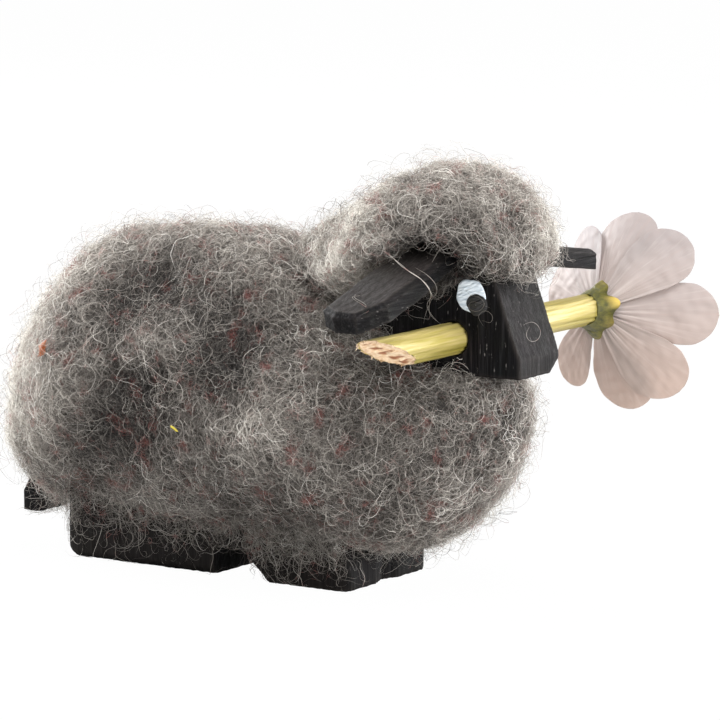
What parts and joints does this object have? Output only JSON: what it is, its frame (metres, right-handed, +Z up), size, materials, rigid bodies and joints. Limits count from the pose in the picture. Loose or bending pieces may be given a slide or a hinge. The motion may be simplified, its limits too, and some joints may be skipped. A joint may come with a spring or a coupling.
{
  "type": "sheep figurine",
  "caption": "Small wooden sheep wrapped in loose wool, with painted eyes, flat ears and a dried flower whose stem slides in a hole across its muzzle.",
  "frame": {"origin": "middle of the front foot's sole, on the plane the figurine stands on", "axes": "+X the way the sheep faces, +Y its left, where the flower is, +Z up"},
  "size_m": [0.079, 0.0656, 0.0513],
  "materials": {
    "stained_wood": "black stain, sawn",
    "fleece": "loose natural wool",
    "eye_white_paint": "matt paint",
    "pupil_paint": "matt paint",
    "dried_stem": "dried, ribbed",
    "dried_calyx": "dried leaf",
    "dried_petal": "thin dried petal",
    "dried_florets": "dried florets"
  },
  "bodies": {
    "figurine": {"body_block": "stained_wood", "head_block": "stained_wood", "ear_right": "stained_wood", "ear_left": "stained_wood", "tail": "stained_wood", "fleece_body": "fleece", "fleece_head": "fleece", "eye_right": "eye_white_paint", "eye_left": "eye_white_paint", "pupil_right": "pupil_paint", "pupil_left": "pupil_paint"},
    "flower": {"stem": "dried_stem", "calyx": "dried_calyx", "florets": "dried_florets", "petal_1": "dried_petal", "petal_2": "dried_petal", "petal_3": "dried_petal", "petal_4": "dried_petal", "petal_5": "dried_petal", "petal_6": "dried_petal", "petal_7": "dried_petal", "petal_8": "dried_petal"}
  },
  "joints": [
    {"name": "stem_slide", "type": "slide", "parent": "figurine", "child": "flower", "axis": [0, 1, 0], "range_m": [-0.003, 0.018]}
  ]
}
